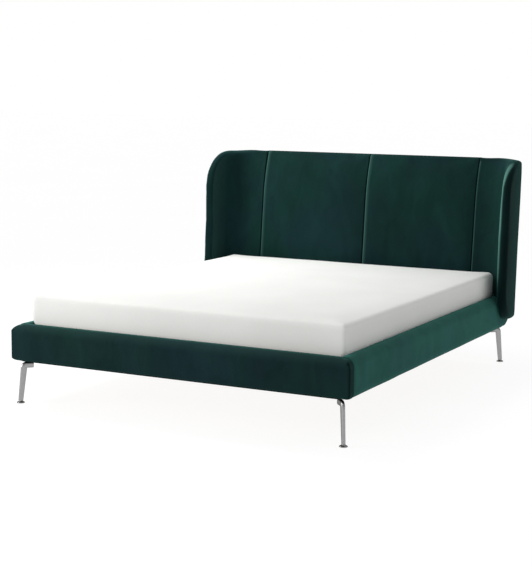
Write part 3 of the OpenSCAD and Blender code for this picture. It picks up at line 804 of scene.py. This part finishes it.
def make_headboard_back():
    """The cover pulled flat over the back of the board."""
    skin = 0.0016
    outer = spread_along([np.array([HB_T, 0.0]), np.array([HB_T, HB_TOP[1]])], 0.03)
    outer += arc(HB_TOP, HB_TOP_R, 0, 90, 8)[1:]
    inner = [p + (np.array([-skin, 0]) if p[1] < HB_TOP[1] else (HB_TOP - p) * skin / HB_TOP_R)
             for p in reversed(outer)]
    rings = [from_headboard(x, outer + inner) for x in np.linspace(-SEAM_X, SEAM_X, 60)]
    piece = add_piece("headboard_back", *loft(rings))
    return dress(piece, VELVET, "frame", ["headboard_back_cover"])


# The wings

WING_COLUMNS, WING_ROWS, WING_TURNS = 46, 56, 10   # points along, up and round the edge
WING_N = np.array([math.cos(WING_FLARE), math.sin(WING_FLARE)])
NOSE = np.array([WING_OUT - WING_EDGE_R, WING_FRONT + WING_EDGE_R])


def middle_lines():
    """Heights with the depth of the middle's face and back there, in the wings' axes."""
    face = into_wing(from_headboard(0, headboard_face()))
    back = into_wing(from_headboard(0, [(HB_T, 0.0), (HB_T, HB_H)]))
    return face[:, 2], face[:, 1], back[:, 2], back[:, 1]


FACE_Z, FACE_Y, BACK_Z, BACK_Y = middle_lines()
CREST = np.array([FACE_Y[-1], FACE_Z[-1]])


def plan_line(y, radius, way, steps):
    """The wing's inner (way -1) or outer (way 1) face in plan: from the seam, where the
    headboard's face or back stands at y, round a curve and on to the front edge."""
    reach = NOSE @ WING_N + way * WING_EDGE_R - radius
    centre = ((reach - (y - radius) * WING_N[1]) / WING_N[0], y - radius)
    curve = arc(centre, radius, 90, math.degrees(WING_FLARE), steps)
    line = [np.array([SEAM_X, y]), *curve, NOSE + way * WING_N * WING_EDGE_R]
    return resample(line, WING_COLUMNS)


def inner_line(y):
    """The wing's inner face in plan, when the headboard's face stands at y there."""
    return plan_line(y, WING_INNER_R, -1, 40)


def outer_line(y):
    """The wing's outer face in plan, when the headboard's back stands at y there."""
    return plan_line(y, WING_BACK_R + 1.2 * max(y - WING_T, 0.0), 1, 24)


def wing_index(i, j, out=False):
    """The number of a point on a wing's inner or outer face."""
    return (WING_COLUMNS * out + i) * WING_ROWS + j


def edge_rise(middle, radius):
    """How high a round corner of the wing's faces stands, column by column."""
    past = np.maximum(WING_FRONT + radius - middle[:, 1], 0.0)
    return np.sqrt(np.maximum((radius - WING_EDGE_R) ** 2 - past ** 2, 0.0))


def wing_heights(middle, run):
    """The lowest and highest point of a wing's faces, column by column."""
    share = smooth_step(run / (0.55 * run[-1]))
    crest = CREST[1] - WING_EDGE_R
    upright = WING_H - WING_CORNER_R + edge_rise(middle, WING_CORNER_R)
    tops = crest + (upright - crest) * share + WING_CROWN * hump(run / run[-1], 0.27, 0.27)
    return WING_SWEEP_R - edge_rise(middle, WING_SWEEP_R) - WING_DROP * share, tops


def wing_points(run, bottoms, tops):
    """The points of a wing's inner and outer faces, column by column."""
    inner = np.zeros((WING_COLUMNS, WING_ROWS, 3))
    outer = np.zeros_like(inner)
    for j in range(WING_ROWS):
        heights = bottoms + (tops - bottoms) * (j / (WING_ROWS - 1))
        for i, z in enumerate(heights):
            a = inner_line(np.interp(z, FACE_Z, FACE_Y))[i]
            b = outer_line(np.interp(z, BACK_Z, BACK_Y))[i]
            way = (a - b) / np.linalg.norm(a - b)
            inner[i, j] = [*(a - way * roll_in(run[i])), z]
            outer[i, j] = [*b, z]
    return list(inner.reshape(-1, 3)) + list(outer.reshape(-1, 3))


def wing_edge(points, middle, run, bottoms, tops):
    """Adds the points of a wing's padded edge, in strips from its top at the seam over the
    front to its foot. Also tells how far along the wing the edge runs at each strip."""
    rim = [(i, WING_ROWS - 1) for i in range(WING_COLUMNS)]
    rim += [(WING_COLUMNS - 1, j) for j in range(WING_ROWS - 2, -1, -1)]
    rim += [(i, 0) for i in range(WING_COLUMNS - 2, -1, -1)]
    tangents = directions([[run[i], bottoms[i] + (tops[i] - bottoms[i]) * j / (WING_ROWS - 1)]
                           for i, j in rim])
    ways = directions(middle)
    strips = []
    for (i, j), (along, up) in zip(rim, tangents):
        push = np.array([*(-ways[i] * up), along])
        ends = wing_index(i, j), wing_index(i, j, True)
        centre = (points[ends[0]] + points[ends[1]]) / 2
        reach = (points[ends[0]] - points[ends[1]]) / 2
        strips.append([ends[0], *range(len(points), len(points) + WING_TURNS - 1), ends[1]])
        for angle in (math.pi * t / WING_TURNS for t in range(1, WING_TURNS)):
            points.append(centre + reach * math.cos(angle) + push * WING_EDGE_R * math.sin(angle))
    return strips, tangents[:, 0]


def wing_faces(strips):
    """The faces of a wing's two sides, of its padded edge and of its end at the seam."""
    faces = []
    for i in range(WING_COLUMNS - 1):
        for j in range(WING_ROWS - 1):
            cell = ((i, j), (i + 1, j), (i + 1, j + 1), (i, j + 1))
            faces.append(tuple(wing_index(*p) for p in cell))
            faces.append(tuple(wing_index(*p, True) for p in (cell[0], *cell[:0:-1])))
    for one, two in zip(strips[:-1], strips[1:]):
        faces += [(one[t], one[t + 1], two[t + 1], two[t]) for t in range(WING_TURNS)]
    seam = [wing_index(0, j) for j in range(WING_ROWS)] + strips[0][1:-1]
    seam += [wing_index(0, j, True) for j in reversed(range(WING_ROWS))]
    seam += reversed(strips[-1][1:-1])
    return faces + [tuple(seam)]


def wing_painted_light_and_shade(side, run, strips, along, local):
    """Painted light and shade on a wing: lighter towards the front and, on the right wing, a
    painted highlight along the crest of its padded edge, which faces the light, and just beside the
    seam. Painted shade behind the crest, on the outer face towards the front and, on the left wing,
    at the seam and in its hollow."""
    lay = np.zeros(len(local))
    part = run / run[-1]
    fade = smooth_step((local[:, 2] - 0.10) / 0.20)
    low = 1 - smooth_step((local[:, 2] - 0.30) / 0.35)
    for i in range(WING_COLUMNS):
        inside = slice(wing_index(i, 0), wing_index(i + 1, 0))
        outside = slice(wing_index(i, 0, True), wing_index(i + 1, 0, True))
        near = smooth_step((part[i] - 0.55) / 0.45)
        if side > 0:
            # Right wing: lighter towards the front and near the front of its sweep, and a painted
            # highlight just beside the seam.
            front = 0.40 * near + 0.30 * low[inside] * hump(run[i], run[-1], 0.030)
            lay[inside] = front * fade[inside] + 0.34 * hump(run[i], 0.009, 0.007)
        else:
            # Left wing: a little lighter towards the front, painted shade in its hollow and at the
            # seam.
            lay[inside] = (0.12 * near - 0.20 * hump(part[i], 0.45, 0.25)
                           - hump(run[i], 0.0, 0.007))
        # Painted shade on the outer face, deepest towards its front edge.
        lay[outside] = -0.9 * smooth_step((part[i] - 0.62) / 0.3)
    # Along the padded edge: on the right wing a painted highlight along its crest, weaker at the
    # top and low down; elsewhere painted shade, deeper towards the outer face.
    for strip, level in zip(strips, along):
        crest = 1.0 + 5.0 * max(level, 0.0) ** 2
        strength = 1 - 0.9 * smooth_step((level - 0.80) / 0.2)
        for t, index in enumerate(strip[1:-1], 1):
            dark = -0.10 - 0.08 * t
            if side > 0:
                line = strength * fade[index] * hump(t, crest, 3.2) * (1 - 0.4 * low[index])
                lay[index] = 1.4 * line + dark * (1 - line)
            else:
                lay[index] = 0.5 * dark
    return lay


def make_wing(word):
    """A wing: two faces that run from the seam to the front edge, joined all round by a
    padded edge."""
    side = SIDES[word]
    middle = (inner_line(0.0) + outer_line(WING_T)) / 2
    run = distances_along(middle)
    bottoms, tops = wing_heights(middle, run)
    points = wing_points(run, bottoms, tops)
    strips, along = wing_edge(points, middle, run, bottoms, tops)
    piece = add_piece("wing_right", from_wing(points), wing_faces(strips))
    local = into_wing(read_points(piece))
    mark_painted_light_and_shade(piece, wing_painted_light_and_shade(side, run, strips, along, local))
    back = np.interp(local[:, 2], BACK_Z, BACK_Y)
    held = np.where((local[:, 0] < SEAM_X + 0.003) | (local[:, 1] > back - 0.001), 1.0, 0.0)
    inflate(piece, held, 1.2, 0.004)
    undulate(piece, 0.0014, 4.5, 11 if side > 0 else 12, held)
    piece = on_side(piece, side)
    dress(piece, VELVET, "frame", ["wing_cover_" + word, "wing_foam_" + word])
    # The outer face gets a darker copy of the velvet with little sheen: painted shade.
    piece.data.materials.append(VELVET_AWAY_PAINTED_SHADE)
    outer = range(wing_index(0, 0, True), wing_index(WING_COLUMNS, 0, True))
    for polygon in piece.data.polygons:
        if all(v in outer for v in polygon.vertices):
            polygon.material_index = 1
    return piece


# Legs and glides

LEG_TOP = (0.0150, 0.0090)       # half the oval's width along and across the bend
LEG_FOOT = (0.0115, 0.0080)
LEG_SPLAY = 0.013                # how far its foot stands out from its bend, each way
LEG_BEND_R = 0.013
LEG_STUB = 0.030                 # from the bend inwards under the plate, each way
PLATE_T = 0.004
PLATE_SIZE = 0.056
PLATE_CORNER_R = 0.008
PLATE_EDGE = (0.0008, 0.0006)    # how far its edges are broken, from above and from the side


def flat_oval(angle):
    """A point of an oval that is a little squarer than an ellipse."""
    return tuple(math.copysign(abs(v) ** (2 / 2.4), v) for v in (math.cos(angle), math.sin(angle)))


def leg_path(foot, elbow, inward):
    """A leg's middle line from its foot round the bend, as (point, share of its full width)."""
    axis = (elbow - foot) / np.linalg.norm(elbow - foot)
    start, finish = elbow - axis * LEG_BEND_R, elbow + inward * LEG_BEND_R
    stub = inward * (LEG_STUB * math.sqrt(2) - LEG_BEND_R)
    path = [(foot + (start - foot) * t, t) for t in np.linspace(0, 1, 14)[:-1]]
    path += [((1 - t) ** 2 * start + 2 * t * (1 - t) * elbow + t ** 2 * finish, 1.0)
             for t in np.linspace(0, 1, 9)]
    return path + [(finish + stub * t, 1.0) for t in (0.25, 0.5, 0.75, 1.0)]


def leg_rings(path, across):
    """Oval rings round a leg's middle line, drawn in a little at its upper end."""
    ways = directions([step[0] for step in path])
    rings = []
    for (centre, share), way in zip(path, ways):
        wide, thin = (a + (b - a) * share for a, b in zip(LEG_FOOT, LEG_TOP))
        out = np.cross(way, across)
        oval = [flat_oval(a) for a in np.linspace(0, 2 * math.pi, 40, endpoint=False)]
        rings.append([centre + out * wide * u + across * thin * v for u, v in oval])
    last, centre, way = rings[-1], path[-1][0], ways[-1]
    for grow, move in ((0.93, 0.0012), (0.80, 0.0018)):
        rings.append([centre + (p - centre) * grow + way * move for p in last])
    return rings


def plate_rings(low, high, sx, sy):
    """Outlines of a leg's mounting plate, with round corners and broken edges."""
    inner = np.array([low[0] if sx > 0 else high[0], low[1] if sy > 0 else high[1]])
    centre = inner + np.array([sx, sy]) * PLATE_SIZE / 2
    outline = []
    for k in range(4):
        way = np.array([1 if k in (0, 3) else -1, 1 if k < 2 else -1])
        corner = centre + way * (PLATE_SIZE / 2 - PLATE_CORNER_R)
        outline += arc(corner, PLATE_CORNER_R, 90 * k, 90 * k + 90, 5)
    shrink, step = PLATE_EDGE
    bottom, top = high[2] - PLATE_T, high[2]
    rings = []
    for inset, z in ((shrink, bottom), (0.0, bottom + step), (0.0, top - step), (shrink, top)):
        rings.append([np.array([*(centre + (p - centre) * (1 - inset / PLATE_SIZE * 2)), z])
                      for p in outline])
    return rings


def make_leg(end, side):
    """One leg: an oval bar, bent once, on a plate with rounded corners."""
    name = "leg_%s_%s" % (end, side)
    low, high = (np.array(c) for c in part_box(name))
    g_low, g_high = (np.array(c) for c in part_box("glide_%s_%s" % (end, side)))
    foot = np.array([*((g_low[:2] + g_high[:2]) / 2), low[2]])
    sx, sy = SIDES[side], 1 if end == "back" else -1
    inward = np.array([-sx, -sy, 0.0]) / math.sqrt(2)
    across = np.array([sy, -sx, 0.0]) / math.sqrt(2)
    elbow = foot + inward * LEG_SPLAY * math.sqrt(2)
    elbow[2] = high[2] - PLATE_T - LEG_TOP[0] + 0.0005
    points, faces = loft(leg_rings(leg_path(foot, elbow, inward), across))
    plate_points, plate_faces = loft(plate_rings(low, high, sx, sy))
    faces += [tuple(len(points) + i for i in face) for face in plate_faces]
    piece = add_piece(name + "_steel", points + plate_points, faces, 30)
    return dress(piece, CHROME, "frame", [name])


# A glide's outline from its base up: how far in from its radius, or how wide, and how high
GLIDE_RIM = ((0.0018, 0.0), (0.0005, 0.0006), (0.0, 0.0018), (0.0, 0.0034),
             (0.0007, 0.0047), (0.0022, 0.0054))
GLIDE_NECK = ((0.0125, 0.0075), (0.0098, 0.0095), (0.0088, 0.0120), (0.0040, 0.0122))


def make_glide(end, side):
    """A glide: a turned foot with a rounded rim and a slim neck."""
    name = "glide_%s_%s" % (end, side)
    low, high = (np.array(c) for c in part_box(name))
    centre = (low + high) / 2
    radius = (high[0] - low[0]) / 2
    outline = [(0.6 * radius, 0.0), *((radius - inset, up) for inset, up in GLIDE_RIM),
               *GLIDE_NECK, (GLIDE_NECK[-1][0], high[2] - low[2])]
    rings = [[np.array([centre[0] + r * math.cos(a), centre[1] + r * math.sin(a), low[2] + up])
              for a in np.linspace(0, 2 * math.pi, 48, endpoint=False)] for r, up in outline]
    piece = add_piece(name + "_steel", *loft(rings), sharp=50)
    return dress(piece, CHROME, "frame", [name])


# CAD nodes that stay

def finish_node(name, material, bevel=0.0):
    """Gives a CAD node its material and slightly broken edges."""
    node = NODES[name]
    node.data.materials.clear()
    node.data.materials.append(material)
    if bevel:
        weld = node.modifiers.new("weld", "WELD")
        weld.merge_threshold = 0.00001
        modifier = node.modifiers.new("broken_edges", "BEVEL")
        modifier.width = bevel
        modifier.segments = 2
        modifier.limit_method = "ANGLE"
        modifier.angle_limit = math.radians(40)


FINISHES = (    # material, width of the broken edges and names; "*" stands for both sides
    (SLAT_WOOD, 0.0025, "slats_*"), (TAPE, 0.0, "slat_bands_*"),
    (TIMBER_Y, 0.001, "side_rail_core_*"), (TIMBER_X, 0.001, "foot_rail_core"),
    (TIMBER_X, 0.002, "head_rail"), (TIMBER_Z, 0.002, "corner_block_front_*"),
    (TIMBER_Z, 0.002, "corner_block_back_*"), (TIMBER_Z, 0.0, "headboard_battens"),
    (PLYWOOD, 0.0, "wing_shell_*"), (PLYWOOD, 0.0, "headboard_board"),
    (ZINC, 0.0005, "ledge_*"), (ZINC, 0.0008, "corner_bracket_*"),
    (ZINC, 0.0008, "headboard_bracket_*"), (ZINC, 0.0008, "midbeam_bracket_foot"),
    (ZINC, 0.0008, "midbeam_bracket_head"), (ZINC, 0.001, "midbeam_outer"),
    (ZINC, 0.001, "midbeam_inner"), (ZINC, 0.0, "leg_screws"), (ZINC, 0.0, "ledge_screws"),
    (ZINC, 0.0, "midbeam_screws"), (ZINC, 0.0, "bracket_screws"))


def finish_nodes():
    """Gives every CAD node that stays its material."""
    for material, bevel, name in FINISHES:
        for word in SIDES if "*" in name else [""]:
            finish_node(name.replace("*", word), material, bevel)


# Floor, light and camera

SKY_LIGHT = 0.54           # what the room's walls give
SKY_SEEN = 1.0             # how white they look
FLOOR_LIGHT = 0.34         # what the floor gives to surfaces that scatter it
FLOOR_SEEN = 0.87          # how bright it looks by itself and in a reflection


def strength_by_ray(tree, ray, on, off):
    """A stage light's strength: one for a kind of ray, and another for all the others."""
    path = tree.nodes.new("ShaderNodeLightPath")
    strength = tree.nodes.new("ShaderNodeMapRange")
    strength.inputs["To Min"].default_value = off
    strength.inputs["To Max"].default_value = on
    tree.links.new(path.outputs[ray], strength.inputs["Value"])
    return strength.outputs["Result"]


def make_floor():
    """A large pale floor, faintly lit from below as on a light table."""
    reach = 60.0
    corners = [(x * reach, y * reach, 0.0) for x, y in ((-1, -1), (1, -1), (1, 1), (-1, 1))]
    floor = add_piece("floor", corners, [(0, 1, 2, 3)])
    s = Shader("floor_paint")
    cloudy = s.noise(0.7, detail=2.0)
    s.set(base_color=s.ramp(cloudy, [(0.3, 0.19), (0.7, 0.21)]),
          roughness=0.9, specular_ior_level=0.1, emission_color=(1.0, 1.0, 1.0),
          emission_strength=strength_by_ray(s.tree, "Is Diffuse Ray", FLOOR_LIGHT, FLOOR_SEEN))
    floor.data.materials.append(s.material)


def make_world():
    """An even sky, as from the white walls of a studio."""
    world = bpy.data.worlds.new("studio")
    world.use_nodes = True
    tree = world.node_tree
    background = tree.nodes["Background"]
    background.inputs["Color"].default_value = (1.0, 1.0, 1.0, 1)
    tree.links.new(strength_by_ray(tree, "Is Camera Ray", SKY_SEEN, SKY_LIGHT),
                   background.inputs["Strength"])
    SCENE.world = world


def add_softbox(name, place, target, size, power):
    """A square soft light at a place, turned to a target."""
    light = bpy.data.lights.new(name, "AREA")
    light.shape = "SQUARE"
    light.size = size
    light.energy = power
    lamp = bpy.data.objects.new(name, light)
    lamp.location = place
    lamp.rotation_mode = "QUATERNION"
    lamp.rotation_quaternion = (Vector(place) - Vector(target)).to_track_quat("Z", "Y")
    SCENE.collection.objects.link(lamp)


def make_lights():
    """A soft key light from above the headboard, and a fill from the front left."""
    add_softbox("key", (-1.4, 0.45, 2.5), (0.1, 0.0, 0.4), 1.6, 50.0)
    add_softbox("fill", (-3.0, -3.6, 1.3), (-0.2, -1.0, 0.35), 2.0, 92.0)


CAMERA_PLACE = (3.1021, FOOT_LOW[1] - 5.1450, 1.4746)
CAMERA_AZIMUTH, CAMERA_ELEVATION, CAMERA_ROLL = np.radians([26.976, 8.128, 0.639]).tolist()
CAMERA_LENS = 86.71
CAMERA_SHIFT = (-0.0029, 0.0005)


def make_camera():
    """The camera at the place that fits the photo's outline."""
    camera = bpy.data.cameras.new("camera")
    camera.sensor_width = 36.0
    camera.lens = CAMERA_LENS
    camera.shift_x, camera.shift_y = CAMERA_SHIFT
    camera.clip_end = 100
    back = Vector((math.sin(CAMERA_AZIMUTH) * math.cos(CAMERA_ELEVATION),
                   -math.cos(CAMERA_AZIMUTH) * math.cos(CAMERA_ELEVATION),
                   math.sin(CAMERA_ELEVATION)))
    right = (-back).cross(Vector((0, 0, 1))).normalized()
    up = right.cross(-back)
    turned = right * math.cos(CAMERA_ROLL) + up * math.sin(CAMERA_ROLL)
    upright = up * math.cos(CAMERA_ROLL) - right * math.sin(CAMERA_ROLL)
    view = Matrix((turned, upright, back)).transposed().to_4x4()
    view.translation = CAMERA_PLACE
    holder = bpy.data.objects.new("camera", camera)
    holder.matrix_world = view
    SCENE.collection.objects.link(holder)
    SCENE.camera = holder


SCENE.view_settings.view_transform = "Standard"
make_camera()
make_world()
make_lights()
make_floor()
make_mattress()
make_foot_rail()
make_headboard_back()
for side_word in SIDES:
    make_side_rail(side_word)
    make_headboard_panel(side_word)
    make_wing(side_word)
    for leg_end in ("front", "back"):
        make_leg(leg_end, side_word)
        make_glide(leg_end, side_word)
finish_nodes()
